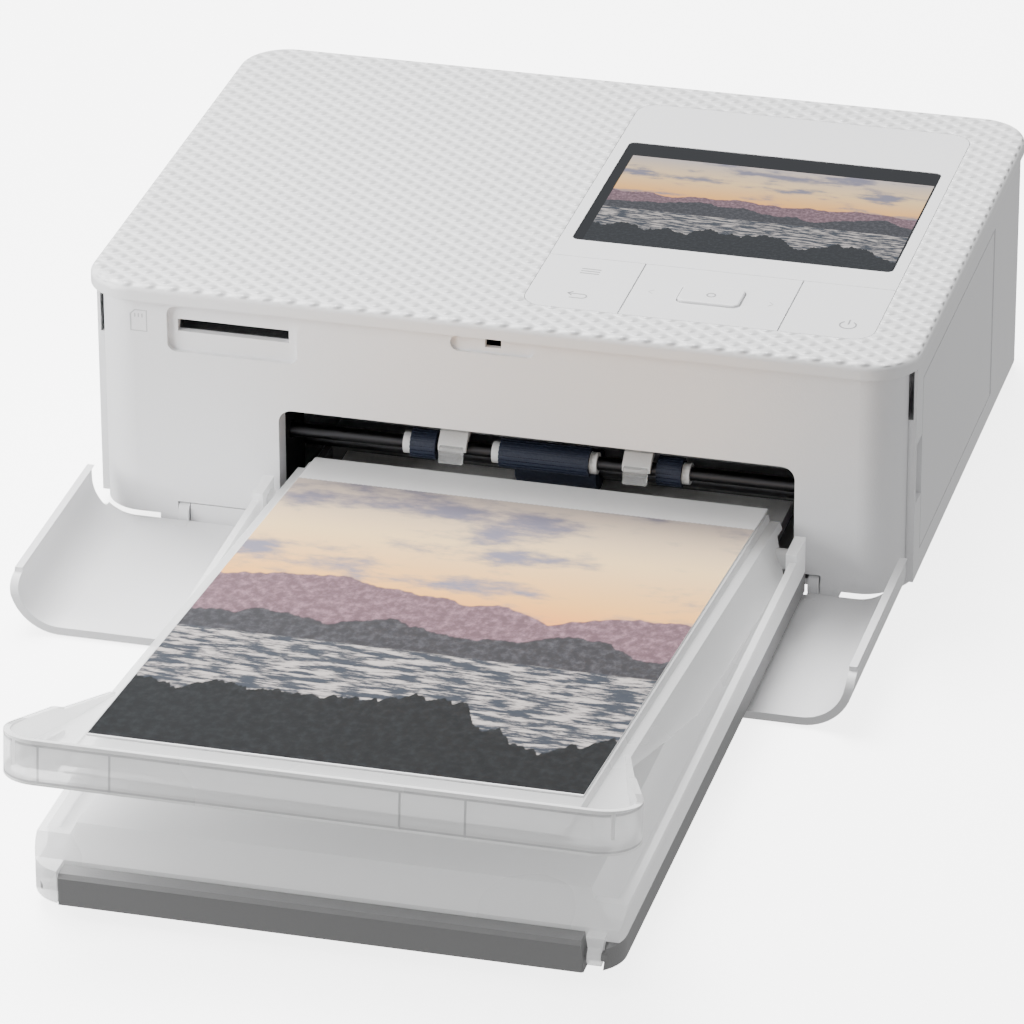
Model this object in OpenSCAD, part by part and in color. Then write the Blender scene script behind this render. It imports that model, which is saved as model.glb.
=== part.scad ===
// Compact photo printer with its paper cassette pushed in and a finished print on the cassette.
// X runs to the right, Y to the back and Z up. The origin is on the table, at the middle of the
// printer body's footprint. All lengths are millimetres.

/* [Printer body] */
// Width across the top cover
body_w = 182.2; // [178:1:188]
// Depth across the top cover
body_d = 133; // [131:1:140]
// Height from the table to the top
body_h = 57.6; // [57:0.5:62]
// Plan radius of the body's vertical corners
corner_r = 11; // [9:0.5:14]
// Thickness of the moulded walls
wall = 2; // [1.6:0.1:2.2]
// Height of the rubber feet
foot_h = 1.2; // [0.8:0.1:1.4]
// Thickness of the floor
floor_t = 1.5; // [1.2:0.1:1.5]
// Gap left between mouldings that sit beside each other
fit = 0.3; // [0.2:0.05:0.35]

/* [Top cover] */
// Height of the top cover's edge band
rim_h = 3.4; // [3.2:0.1:4]
// Rounding of the top edge
top_edge_r = 1.6; // [1:0.1:2]
// How far the top cover stands proud of the walls below
rim_over = 0.8; // [0.5:0.1:1.2]
// Width of the smooth control panel
panel_w = 76.4; // [76:0.5:78]
// Depth of the smooth control panel
panel_d = 109.5; // [108:0.5:112]
// Middle of the control panel from the middle of the body
panel_x = 41.6; // [40:0.2:42]
// Plan radius of the control panel's corners
panel_r = 5; // [3:0.5:7]
// Width of the display glass
glass_w = 71; // [68:0.5:71.5]
// Depth of the display glass
glass_d = 53.4; // [50:0.5:54]
// Middle of the display glass from the middle of the body
glass_y = 6.7; // [5:0.2:8]
// Depth of the strip of keys in front of the display
key_d = 26; // [24:0.5:27]
// Width of the left key
menu_w = 21.5; // [20:0.5:22]
// Width of the right key
power_w = 20.2; // [19:0.2:21]
// Gap round each key
key_gap = 0.3; // [0.2:0.05:0.4]
// Width of the raised middle key
ok_w = 13.5; // [12:0.5:15]
// Depth of the raised middle key
ok_d = 8.6; // [8:0.2:10]
// How far the middle key stands above the panel
ok_rise = 0.5; // [0.3:0.1:0.8]

/* [Front face] */
// How far the front face is set back behind the top cover's edge
front_set = 2.4; // [2:0.1:3]
// Plan radius of the front face's corners
front_r = 9; // [8:0.5:10]
// How far the side walls stand outside the front face's corners
side_step = 1.7; // [1.5:0.1:2]
// Width of the paper opening
mouth_w = 113.5; // [113:0.5:116]
// Middle of the paper path from the middle of the body
path_x = 9.25; // [8:0.25:10]
// Height of the top of the paper opening
mouth_top = 30.8; // [30.5:0.1:32]
// Radius of the paper opening's upper corners
mouth_r = 3; // [2:0.5:4]
// Width of the memory card slot
card_w = 24.8; // [24.4:0.1:26]
// Height of the memory card slot
card_h = 2.9; // [2.6:0.1:3.2]
// Middle of the memory card slot from the middle of the body
card_x = -57.6; // [-59:0.2:-57]
// Height of the middle of the memory card slot
card_z = 47.8; // [47.4:0.1:48]
// Width of the recess round the card slot
card_recess_w = 29; // [28:0.5:30]
// Height of the recess round the card slot
card_recess_h = 10.6; // [9:0.2:11]
// Length of the latch recess above the opening
latch_w = 18.4; // [17:0.2:20]
// Height of the latch recess
latch_h = 3.7; // [3:0.1:4]

/* [Front flap] */
// Distance from the flap's hinge to its far edge
flap_reach = 56.8; // [54:0.2:58]
// Thickness of the flap
flap_t = 1.8; // [1.6:0.1:2.1]
// Radius of the flap's curled sides
flap_curl_r = 11; // [9:0.5:11]
// Height of the flap's side rims above its outer face
flap_rim = 11.8; // [11.5:0.2:13]
// Rounding of the side rims' far top corners
flap_corner_r = 4; // [2:0.5:6]
// Height of the flap's hinge above the table
hinge_z = 3; // [2.9:0.05:3.1]
// Distance of the flap's hinge from the front face, inward
hinge_in = 1.8; // [1.7:0.1:2]
// Radius of the flap's hinge pins
hinge_pin_r = 1.1; // [1:0.05:1.15]
// Radial running clearance of pins and shafts
run_fit = 0.05; // [0.03:0.01:0.08]

/* [Paper cassette] */
// Width of the cassette outside the printer
tray_w = 119.5; // [118.5:0.5:121]
// Distance from the printer's front face to the cassette's far end
tray_len = 168; // [166:1:172]
// Height of the cassette's underside above the table
tray_z = 3; // [3:0.05:3.2]
// Height of the cassette with its inner cover shut
tray_h = 12.8; // [12.4:0.2:13]
// Height of the grey base's side band
band_h = 4.6; // [4.2:0.1:5]
// Plan radius of the cassette's far corners
tray_r = 8.5; // [7:0.5:10]
// Wall of the cassette's mouldings
tray_wall = 1.5; // [1.3:0.1:1.6]
// Length of the tongue that goes into the printer
tongue_len = 32; // [28:1:34]
// Width of the tongue that goes into the printer
tongue_w = 110.5; // [109.5:0.5:111.5]
// Width of the clear corner posts either side of the grey grip bar
post_w = 6.9; // [6.6:0.1:8.5]
// Height of the grey grip bar
bar_h = 6.7; // [6:0.1:7]
// Width of one sheet of postcard paper
paper_w = 100; // [99:0.5:101]
// Printed length of one sheet
print_len = 148; // [146:1:150]
// Length of the tear-off strip at a sheet's end
strip_len = 13; // [11:0.5:14]
// Thickness of the print lying on the cassette
print_t = 0.3; // [0.2:0.05:0.4]
// Height of the stack of blank sheets in the cassette
stack_h = 3.2; // [2:0.2:3.6]

/* [Outer cover] */
// Angle at which the outer cover stands while it catches prints
cover_tilt = 6; // [5.5:0.25:6.5]
// Thickness of the outer cover
cover_t = 1.3; // [1.1:0.1:1.4]
// Width across the lower edges of the outer cover's side flanges
cover_w = 114; // [113:0.2:114.4]
// How far each flange leans out from its top to its lower edge
flange_lean = 3.8; // [3.4:0.1:4.2]
// How far the outer cover reaches past the cassette's far end
cover_over = 6; // [5:0.2:7]
// Width across the wings at the outer cover's far corners
wing_w = 127.5; // [126:0.5:129]
// Width across the rear ends of the wings
wing_rear = 116.6; // [115.6:0.2:118]
// Length of the wings
wing_len = 24.6; // [22:0.2:26]
// Plan radius of the outer cover's far corners
wing_r = 8; // [6:0.5:9]
// Height of the far wall above the surface that the print lies on
stop_h = 5; // [4.6:0.1:5.6]
// Depth of the far wall below that surface
skirt_h = 4.4; // [4:0.1:4.5]
// Rise of the print's surface above the shoulders beside it
bed_rise = 1.5; // [1.2:0.1:1.8]

/* [Paper drive] */
// Gear module of the paper drive
gear_m = 0.6; // [0.58:0.01:0.6]
// Width of the drive gears
gear_w = 3.2; // [2.8:0.1:3.4]
// Radius of the rubber exit rollers
exit_r = 3.2; // [3:0.1:3.3]
// Radius of the shafts
shaft_r = 1.5; // [1.3:0.1:1.6]
// Radius of the platen roller
platen_r = 4.6; // [4.4:0.1:4.8]
// Length of the platen roller's rubber
platen_len = 105; // [102:0.5:106]
// Width of the thermal head
head_w = 104; // [102:0.5:105]
// Height of the drive's shafts above the table
drive_z = 21.5; // [21.3:0.1:21.7]
// Thickness of the steel side plates
plate_t = 1.2; // [1:0.1:1.4]

/* [Ink door] */
// Depth of the ink door in the right wall
door_d = 76; // [74:1:78]
// Height of the ink door
door_h = 40; // [38:1:41]
// Radius of the ink door's hinge barrel
barrel_r = 1.4; // [1.2:0.05:1.4]

/* [Hidden] */
$fn = 48;
white = [0.9, 0.9, 0.91];
pale = [0.83, 0.84, 0.85];
grey = [0.52, 0.52, 0.53];
clear = [0.86, 0.88, 0.9, 0.55];
black = [0.06, 0.06, 0.07];
navy = [0.1, 0.13, 0.2];
steel = [0.65, 0.66, 0.68];
green = [0.1, 0.35, 0.2];
eps = 0.01;

// Levels of the body, from the table up
floor_top = foot_h + floor_t;
rim_z = body_h - rim_h;
plate_z = rim_z + 0.7;
panel_z = body_h - 1.5;

// Plan of the body
wrap_w = body_w - 2 * rim_over;
wrap_back = body_d / 2 - rim_over;
wrap_r = corner_r - rim_over;
inner_x = wrap_w / 2 - wall;
front_y = -body_d / 2 + front_set;
front_w = wrap_w - 2 * side_step;
seam_y = front_y + front_r - 1.2;
mouth_l = path_x - mouth_w / 2;
mouth_rt = path_x + mouth_w / 2;

// Hinge of the front flap
hinge_y = front_y + hinge_in;
ear_w = 2.3;
ear_xs = [19.4 - front_w / 2, path_x + tray_w / 2 + fit + ear_w / 2];
ear_r = 2.3;
flap_z = 0.1;
hinge_bay_h = 6;

// Wider slit beside the front's upper corners
slit_z = 41;
slit_skin = 0.7;

// Control panel
panel_front = -54.5;
panel_y = panel_front + panel_d / 2;
glass_z = panel_z + 0.1;
key_back = panel_front + key_d;
key_t = 0.9;
key_top = body_h;
panel_l = panel_x - panel_w / 2;
panel_rt = panel_x + panel_w / 2;
switch_h = 1.5;
board_z = plate_z - switch_h - 1.1;
switch_top = board_z + 1.2 + switch_h;
press_gap = 0.5;
ok_x = (panel_l + menu_w + panel_rt - power_w) / 2;
ok_y = key_back - key_d / 2 + 0.2;

// Steel frame either side of the paper path
frame_w = mouth_w + 3.8;
frame_l = path_x - frame_w / 2;
frame_rt = path_x + frame_w / 2;
frame_top = 46.5;

// Drive train: teeth, places and phases
pinion_n = 12;
roller_n = 20;
idler_n = 30;
spool_n = 17;
exit_y = front_y + 10.1;
exit_z = drive_z;
guide_y = exit_y + exit_r + 0.7;
idler_y = exit_y + gear_m * (roller_n + idler_n) / 2;
platen_y = idler_y + gear_m * (roller_n + idler_n) / 2;
pinion_y = platen_y + gear_m * (roller_n + pinion_n) / 2;
spool_lean = 12.3;
spool_reach = gear_m * (idler_n + spool_n) / 2;
spool_y = idler_y - spool_reach * sin(spool_lean);
spool_z = drive_z + spool_reach * cos(spool_lean);
supply_y = platen_y + 20;
supply_z = 33;
chamber_r = 7.4;
chamber_t = 0.8;
gear_x = frame_l - plate_t - 0.6 - gear_w;
pick_r = 4.4;
pick_y = idler_y - 3;
pick_z = tray_z + tray_wall + stack_h + 0.3 + pick_r + 1.4;
motor_r = 10;
motor_x = gear_x - 3.2;
motor_gap = 3.7;
motor_l = motor_x + inner_x - motor_gap;
head_z = drive_z + platen_r + 0.3;
head_pivot_y = supply_y + 18;
head_pivot_z = 43.6;

// Paper cassette
tray_front = front_y - tray_len;
tray_back = front_y - 2;
tray_top = tray_z + tray_h;
lid_gap = 0.3;
band_top = tray_z + band_h;
lid_hinge_y = tray_front + 3;
lid_hinge_z = tray_z + 2.6;
lid_pin_r = 1.1;
knuckle_r = 2.1;
cover_pivot_y = tray_back - 4.8;
cover_pivot_z = tray_top - 3.2;
cover_pin_r = 1.2;
shoulder_z = tray_top + lid_gap + cover_t;
bed_z = shoulder_z + bed_rise;
bar_w = tray_w - 2 * post_w;
cover_back = tray_back + 3.6;
cover_front = tray_front - cover_over;
print_far = cover_back + 2.2 - print_len - strip_len;

// Inner cover's troughs and the outer cover's flanges that drop into them
lid_low = band_top + 0.1;
trough_z = lid_low + tray_wall;
lid_rim = tray_top - 1.8;
flange_low = trough_z + 0.4;
flange_t = 1.12 * cover_t;
flange_slope = flange_lean / (shoulder_z - flange_low);
function lid_slope(z) = cover_w / 2 - flange_t - 0.4 - flange_slope * (z - flange_low);

// Wings of the outer cover: each side runs from its corner's circle to the rear end
wing_c = wing_w / 2 - wing_r;
wing_dx = wing_rear / 2 - wing_c;
wing_dy = wing_len - wing_r;
wing_lean = atan2(wing_dy, wing_dx) - acos(wing_r / norm([wing_dx, wing_dy]));
neck_len = 42;
wing_drop = 2.2;

// Ink door
door_rear = 26.5;
door_low = 8;

// ---------- shapes that repeat ----------

// Flat outline with round corners, made of squares and circles
module rounded(w, d, r) {
  square([w - 2 * r, d], center = true);
  square([w, d - 2 * r], center = true);
  for (i = [-1, 1], j = [-1, 1])
    translate([i * (w / 2 - r), j * (d / 2 - r)]) circle(r);
}

// Upright block with round vertical corners
module slab(w, d, h, r) {
  linear_extrude(h) rounded(w, d, r);
}

// Half outline of an edge with a quarter-round top
module edge_profile(reach, h, r) {
  square([reach - r, h]);
  square([reach, h - r]);
  translate([reach - r, h - r]) circle(r);
}

// Cover with round corners and a rounded top edge
module soft_plate(w, d, h, corner, edge) {
  for (i = [-1, 1], j = [-1, 1])
    translate([i * (w / 2 - corner), j * (d / 2 - corner), 0])
      rotate_extrude($fn = 64) edge_profile(corner, h, edge);
  for (i = [0, 1]) {
    rotate([90, 0, 180 * i])
      linear_extrude(d - 2 * corner, center = true) edge_profile(w / 2, h, edge);
    rotate([90, 0, 90 + 180 * i])
      linear_extrude(w - 2 * corner, center = true) edge_profile(d / 2, h, edge);
  }
}

// Cylinder along X from x0, centred on a point of the YZ plane
module rod(x0, len, y, z, r) {
  translate([x0, y, z]) rotate([0, 90, 0]) cylinder(r = r, h = len);
}

// Box given by its lowest corner and its highest
module span(a, b) {
  translate(a) cube([b[0] - a[0], b[1] - a[1], b[2] - a[2]]);
}

// Profile drawn as (Y, Z) points, extruded along X
module side_form(x0, x1, points) {
  translate([x0, 0, 0]) rotate([90, 0, 90]) linear_extrude(x1 - x0) polygon(points);
}

// Slot with round ends through a wall that faces Y
module slot_y(x, z, w, h, y0, y1) {
  translate([x, y1, z]) rotate([90, 0, 0]) linear_extrude(y1 - y0) rounded(w, h, min(w, h) / 2 - eps);
}

// Spur gear outline: n straight-sided teeth, one of them centred on angle phase
function tooth(n, k, phase) =
  let (pitch = 360 / n, at = phase + k * pitch, rp = gear_m * n / 2)
  [for (p = [[-0.31, -0.72], [-0.12, 0.5], [0.12, 0.5], [0.31, -0.72]])
    let (a = at + p[0] * pitch, r = rp + p[1] * gear_m * 1.6) [r * cos(a), r * sin(a)]];

module gear(n, phase, bore) {
  rotate([90, 0, 90]) linear_extrude(gear_w)
    difference() {
      polygon([for (k = [0:n - 1]) each tooth(n, k, phase)]);
      if (bore > 0) circle(bore);
    }
}

// ---------- printer casings ----------

// Plan of the room inside the wrap casing and front moulding
module inside_plan(gap) {
  side = inner_x - gap;
  back = wrap_back - wall - gap;
  front = front_y + wall + gap;
  translate([0, (back + front) / 2]) rounded(2 * side, back - front, wrap_r - wall);
}

boss_x = inner_x - 7;
boss_back = wrap_back - wall - 9;
boss_front = front_y + 15;
module boss_places() {
  for (x = [-boss_x, boss_x], y = [boss_front, boss_back]) translate([x, y, 0]) children();
}

module base_casing() color(pale) {
  hinge_clear = 4.4;
  difference() {
    union() {
      translate([0, (wrap_back - 1 + front_y + hinge_clear) / 2, foot_h])
        slab(wrap_w - 2, wrap_back - 1 - front_y - hinge_clear, floor_t, wrap_r - 1);
      // Upright lip inside the wrap casing
      translate([0, 0, foot_h]) difference() {
        linear_extrude(floor_t + 5) intersection() {
          inside_plan(fit);
          translate([-body_w, front_y + hinge_clear + 8]) square([2 * body_w, body_d]);
        }
        translate([0, 0, -1]) linear_extrude(floor_t + 7) inside_plan(fit + 1.6);
      }
      boss_places() translate([0, 0, floor_top - eps]) cylinder(r = 3.4, h = 9);
      // Stiffening ribs either side of the cassette bay
      for (x = [frame_l - 20, frame_rt + 8])
        span([x, front_y + 22, floor_top - eps], [x + 1.2, 2, floor_top + 2.4]);
      // Posts under the main board
      for (x = [-inner_x + 6, frame_l - plate_t - 9], y = [8, wrap_back - 14])
        translate([x, y, floor_top - eps]) cylinder(r = 2.4, h = 2.8);
    }
    boss_places() translate([0, 0, foot_h - 1]) cylinder(r = 1.1, h = 12);
    boss_places() translate([0, 0, foot_h - 1]) cylinder(r = 2.6, h = 2.1);
    // Gaps in the lip beside the ink door's lug and behind the sockets
    span([inner_x - 4, door_rear - 5, floor_top], [inner_x, door_rear + 5, floor_top + 6]);
    span([jack_x0 - 6, wrap_back - wall - 4, floor_top], [port_x + 7, wrap_back - wall, floor_top + 6]);
    // Air slots under the power section
    for (k = [0:5])
      span([-inner_x + 10, 14 + 6 * k, foot_h - 1], [-inner_x + 28, 16 + 6 * k, floor_top + 1]);
  }
}

vent_n = 12;
module wrap_casing() color(white) {
  difference() {
    union() {
      difference() {
        translate([0, 0, floor_top]) linear_extrude(rim_z - floor_top) difference() {
          translate([0, wrap_back - body_d]) rounded(wrap_w, body_d * 2, wrap_r);
          translate([0, wrap_back - wall - body_d])
            rounded(wrap_w - 2 * wall, body_d * 2, wrap_r - wall);
        }
        // Open front, with a deep slit inside the upper front edges
        span([-body_w, -3 * body_d, -1], [body_w, seam_y + fit, body_h + 1]);
        for (s = [-1, 1]) translate([s * (wrap_w / 2 - slit_skin - wall), 0, 0])
          span([-wall, seam_y - 1, slit_z], [wall, seam_y + 6, body_h + 1]);
      }
      // Lugs for the ink door's hinge pins
      for (z = [door_low - 4, door_low + door_h + fit])
        span([inner_x - 1.6, door_rear - 3.4, z], [inner_x + eps, door_rear + 3.4, z + 4 - fit]);
      // Ribs that stiffen the left wall
      for (y = [-20, 10, 40])
        span([-inner_x - eps, y, floor_top + 8], [-inner_x + 1.2, y + 1.2, rim_z - 6]);
    }
    // Ink door opening
    span([inner_x - 2, door_rear - door_d - fit, door_low - fit],
         [body_w, door_rear + barrel_r + fit, door_low + door_h + fit]);
    translate([wrap_w / 2 - barrel_r, door_rear, door_low - 3])
      cylinder(r = 1 + run_fit, h = door_h + 6);
    // Finger scoop at the door's front edge
    translate([wrap_w / 2 + 3.2, door_rear - door_d - 2, door_low + door_h / 2])
      cylinder(r = 5, h = 14, center = true);
    // Power inlet and data port
    translate([jack_x0, wrap_back + 1, jack_z]) rotate([90, 0, 0]) cylinder(r = 4, h = wall + 2);
    slot_y(port_x, port_z, port_w + 0.6, port_h + 0.6, wrap_back - wall - 1, wrap_back + 1);
    // Air outlet
    for (k = [0:vent_n - 1])
      slot_y(5 + 5 * k, 34, 2.2, 16, wrap_back - wall - 1, wrap_back + 1);
    // Anchor slot for a security cable
    slot_y(inner_x - 8, 12, 7, 3, wrap_back - wall - 1, wrap_back + 1);
  }
}

module front_plan(gap) {
  h = body_d;
  translate([0, front_y + gap + h]) rounded(front_w - 2 * gap, 2 * h, front_r - gap);
}

module front_moulding() color(white) {
  lug_l = 4;
  difference() {
    union() {
      translate([0, 0, floor_top]) linear_extrude(rim_z - floor_top) difference() {
        front_plan(0);
        front_plan(wall);
        translate([-body_w, seam_y]) square([2 * body_w, 3 * body_d]);
      }
      // Return walls round the paper opening
      span([mouth_l - 1.2, front_y + wall - eps, floor_top],
           [mouth_rt + 1.2, front_y + 5, mouth_top + 1.2]);
      // Hinge lugs for the flap
      for (k = [0, 1]) translate([ear_xs[k] + (2 * k - 1) * (ear_w / 2 + fit + lug_l / 2), 0, 0])
        span([-lug_l / 2, front_y, foot_h], [lug_l / 2, front_y + 4.1, floor_top + 3.6]);
      // Tabs that locate inside the wrap casing
      for (s = [-1, 1], z = [8, 26])
        span([s * (front_w / 2 - wall - 0.7) - 0.75, seam_y - 4, z],
             [s * (front_w / 2 - wall - 0.7) + 0.75, seam_y + 4, z + 6]);
      // Pocket wall behind the card recess
      span([card_x - card_recess_w / 2 - 1, front_y + wall - eps, card_z - card_recess_h / 2 - 1],
           [card_x + card_recess_w / 2 + 1, front_y + wall + 1, card_z + card_recess_h / 2]);
    }
    // Paper opening, with rounded upper corners
    translate([path_x, front_y + 8, 0]) rotate([90, 0, 0]) linear_extrude(12) {
      translate([0, mouth_top / 2 - 10]) rounded(mouth_w, mouth_top + 20, mouth_r);
    }
    // Room for the flap's root between its hinge ears
    span([ear_xs[0] - ear_w / 2 - fit, front_y - 1, 0],
         [ear_xs[1] + ear_w / 2 + fit, front_y + 6, hinge_bay_h]);
    // Bores for the hinge pins
    rod(ear_xs[0] - ear_w / 2 - fit - lug_l + 0.8, 6, hinge_y, hinge_z, hinge_pin_r + run_fit);
    rod(ear_xs[1] + ear_w / 2 + fit + lug_l - 6.8, 6, hinge_y, hinge_z, hinge_pin_r + run_fit);
    // Card recess and slot
    slot_recess();
    translate([card_x, front_y + 6, card_z]) rotate([90, 0, 0])
      linear_extrude(12) square([card_w, card_h], center = true);
    // Latch recess and the hook's hole
    slot_y(0, latch_z, latch_w, latch_h, front_y - 1, front_y + 0.8);
    span([-1.7, front_y - 1, latch_z - 0.6], [1.8, front_y + 8, latch_z + 1.4]);
  }
}
latch_z = rim_z - 2.85;

// Shallow rounded recess round the card slot
module slot_recess() {
  translate([card_x, front_y + 1.3, card_z - 0.5]) rotate([90, 0, 0])
    linear_extrude(3) rounded(card_recess_w, card_recess_h, 2);
}

module top_cover() color(white) {
  ledge = 2.4;
  difference() {
    translate([0, 0, rim_z]) soft_plate(body_w, body_d, rim_h, corner_r, top_edge_r);
    // Underside, hollowed except round the control panel
    difference() {
      translate([0, 0, rim_z - 1]) slab(body_w - 5.6, body_d - 7.6, rim_h - wall + 1, corner_r - 3);
      translate([panel_x, panel_y, plate_z])
        slab(panel_w + 3, panel_d + 3, rim_h, panel_r + 1.5);
      for (x = [panel_l + 9, panel_rt - 9])
        translate([x, panel_front + 5, board_z + 1.2]) cylinder(r = 2.2, h = 6);
    }
    // Seat for the panel and its keys
    translate([panel_x, panel_y, panel_z]) slab(panel_w, panel_d, 4, panel_r);
    // Window under the display and round the switches
    translate([panel_x, glass_y, rim_z - 1]) slab(glass_w + 0.4, glass_d + 0.4, 6, 2);
    span([panel_l + ledge, panel_front + 9, rim_z - 1], [panel_rt - ledge, key_back - 3, body_h]);
  }
}

module key_gap_cut() {
  span([panel_l - 1, panel_front - 1, panel_z - 1], [panel_rt + 1, key_back, body_h + 1]);
}

module control_fascia() color(white) {
  difference() {
    translate([panel_x, panel_y, panel_z])
      slab(panel_w - fit, panel_d - fit, body_h - panel_z, panel_r - fit / 2);
    translate([panel_x, glass_y, panel_z - 1]) slab(glass_w, glass_d, 4, 1.5);
    key_gap_cut();
  }
}

module display_glass() color([0.05, 0.06, 0.08]) {
  translate([panel_x, glass_y, glass_z])
    slab(glass_w - 0.2, glass_d - 0.2, body_h - glass_z - 0.1, 1.4);
}

module lcd_module() color([0.25, 0.27, 0.3]) {
  translate([panel_x, glass_y, glass_z - 3.4]) slab(glass_w - 0.6, glass_d - 0.6, 3.4 - eps, 1);
}

module button_board() color(green) {
  difference() {
    span([panel_l + 4, panel_front + 1.5, board_z], [panel_rt - 4, key_back - 2.5, board_z + 1.2]);
    for (x = [panel_l + 9, panel_rt - 9])
      translate([x, panel_front + 5, board_z - 1]) cylinder(r = 0.9, h = 4);
  }
  for (x = switch_xs) translate([x, ok_y, board_z + 1.2 + switch_h / 2])
    cube([4.5, 4.5, switch_h], center = true);
}
switch_xs = [panel_l + menu_w / 2, ok_x - 12, ok_x, ok_x + 12, panel_rt - power_w / 2];

// One flat key: the part of the panel strip between two heights of X
module strip_key(x0, x1, stems) {
  low = key_top - key_t;
  intersection() {
    translate([panel_x, panel_y, low])
      slab(panel_w - fit, panel_d - fit, key_t, panel_r - fit / 2);
    span([x0, panel_front - 1, low - 1], [x1, key_back - 0.15, body_h + 1]);
  }
  for (x = stems) translate([x, ok_y, switch_top + press_gap])
    cylinder(r = 1.5, h = low - switch_top - press_gap + eps);
}

module menu_key() color(white) {
  strip_key(panel_l - 1, panel_l + menu_w - key_gap / 2, [switch_xs[0]]);
}

module rocker_plate() color(white) {
  difference() {
    strip_key(panel_l + menu_w + key_gap / 2, panel_rt - power_w - key_gap / 2,
              [switch_xs[1], switch_xs[3]]);
    translate([ok_x, ok_y, panel_z - 2])
      slab(ok_w + 2 * key_gap, ok_d + 2 * key_gap, 6, 1.6 + key_gap);
  }
}

module ok_key() color(white) {
  low = key_top - key_t;
  translate([ok_x, ok_y, low]) soft_plate(ok_w, ok_d, key_t + ok_rise, 1.6, 0.4);
  translate([ok_x, ok_y, switch_top + press_gap])
    cylinder(r = 1.5, h = low - switch_top - press_gap + eps);
}

module power_key() color(white) {
  strip_key(panel_rt - power_w + key_gap / 2, panel_rt + 1, [switch_xs[4]]);
}

// ---------- front flap and ink door ----------

// Cross-section of the flap: a flat floor with both sides curled up
module flap_section() {
  w = front_w / 2 + side_step + 0.6;
  r = flap_curl_r;
  difference() {
    union() {
      translate([-w + r, 0]) square([2 * (w - r), flap_rim]);
      translate([-w, r]) square([2 * w, flap_rim - r]);
      for (s = [-1, 1]) translate([s * (w - r), r]) circle(r);
    }
    translate([-w + r, flap_t]) square([2 * (w - r), flap_rim]);
    translate([-w + flap_t, r]) square([2 * (w - flap_t), flap_rim]);
    for (s = [-1, 1]) translate([s * (w - r), r]) circle(r - flap_t);
  }
}

module front_flap() color(white) {
  w = front_w / 2 + side_step + 0.6;
  near = front_y - 0.8;
  far = hinge_y - flap_reach;
  r = flap_corner_r;
  root_y = hinge_y + 2.1;
  root_z = hinge_bay_h - fit;
  difference() {
    translate([0, 0, flap_z]) intersection() {
      translate([0, near, 0]) rotate([90, 0, 0]) linear_extrude(near - far) flap_section();
      // Side rims end in rounded top corners
      union() {
        span([-w - 1, far + r, -1], [w + 1, near + 1, flap_rim + 1]);
        span([-w - 1, far - 1, -1], [w + 1, near, flap_rim - r]);
        rod(-w - 1, 2 * w + 2, far + r, flap_rim - r, r);
      }
    }
    // Side rims stay clear of the front corners
    for (s = [-1, 1]) translate([s * (w - flap_t / 2), near, flap_z + flap_t + 6.4])
      cube([flap_t + 6, 4, 9], center = true);
    // Room under the cassette
    span([path_x - tray_w / 2 - 1, near - 3, flap_z + flap_t - 0.4],
         [path_x + tray_w / 2 + 1, near + 1, flap_z + flap_t + 1]);
  }
  // Raised root that fills the bay between the left hinge ear and the cassette
  side_form(ear_xs[0] + ear_w / 2 + fit, path_x - tray_w / 2 - 1, [
    [near - 1, flap_z], [root_y, flap_z], [root_y, root_z], [front_y, root_z],
    [front_y, flap_z + flap_t - 0.4], [near - 1, flap_z + flap_t - 0.4]]);
  // Hinge ears, which stand proud of the front face, and their pins
  for (k = [0, 1]) {
    translate([ear_xs[k] - ear_w / 2, 0, 0]) {
      rod(0, ear_w, hinge_y - 0.6, hinge_bay_h - fit - 0.1 - ear_r, ear_r);
      span([0, near - 3, flap_z], [ear_w, hinge_y, hinge_z - 1]);
    }
    rod(ear_xs[k] + (2 * k - 1) * (ear_w / 2 + 1.4) - 1.5, 3, hinge_y, hinge_z, hinge_pin_r);
  }
}

module ink_door() color(white) {
  x1 = wrap_w / 2;
  hinge_x = x1 - barrel_r;
  span([x1 - wall, door_rear - door_d, door_low], [x1, door_rear, door_low + door_h]);
  translate([hinge_x, door_rear, door_low]) cylinder(r = barrel_r, h = door_h);
  translate([hinge_x, door_rear, door_low - 2.4]) cylinder(r = 1, h = door_h + 4.8);
  // Stiffening ribs and the inner catch
  for (z = [door_low + 6, door_low + door_h - 7])
    span([x1 - wall - 1, door_rear - door_d + 5, z], [x1 - wall + eps, door_rear - 8, z + 1]);
  span([x1 - wall - 3, door_rear - door_d + 1.5, door_low + door_h / 2 - 3],
       [x1 - wall + eps, door_rear - door_d + 3, door_low + door_h / 2 + 3]);
}

// ---------- paper path ----------

module throat_guide() color(black) {
  y0 = front_y + 5 + fit;
  y1 = guide_y;
  end = pick_y - 2.9;
  cheek = 1.3;
  top = mouth_top + 0.6;
  difference() {
    union() {
      for (x = [mouth_l - cheek, mouth_rt])
        side_form(x, x + cheek, [
          [y0, floor_top], [end, floor_top], [end, top - 4], [y1 + 0.4, top + 0.7], [y0, top + 0.7]]);
      // Roof and the wall behind the exit rollers
      side_form(mouth_l - cheek / 2, mouth_rt + cheek / 2, [
        [y0, top], [y1, top], [y1, exit_z + 4.4], [y1 + 0.8, exit_z + 4.4],
        [y1 + 0.8, top + 1.4], [y0, top + 1.4]]);
      // Ribs under the roof
      for (k = [0:8])
        span([mouth_l + 7 + k * 12, y0 + 0.5, top - 2], [mouth_l + 8 + k * 12, y1 + 0.4, top + 0.7]);
    }
    rod(mouth_l - 3, mouth_w + 6, exit_y, exit_z, shaft_r + 0.6);
  }
}

finger_xs = [-10.8, 29.9];
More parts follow.
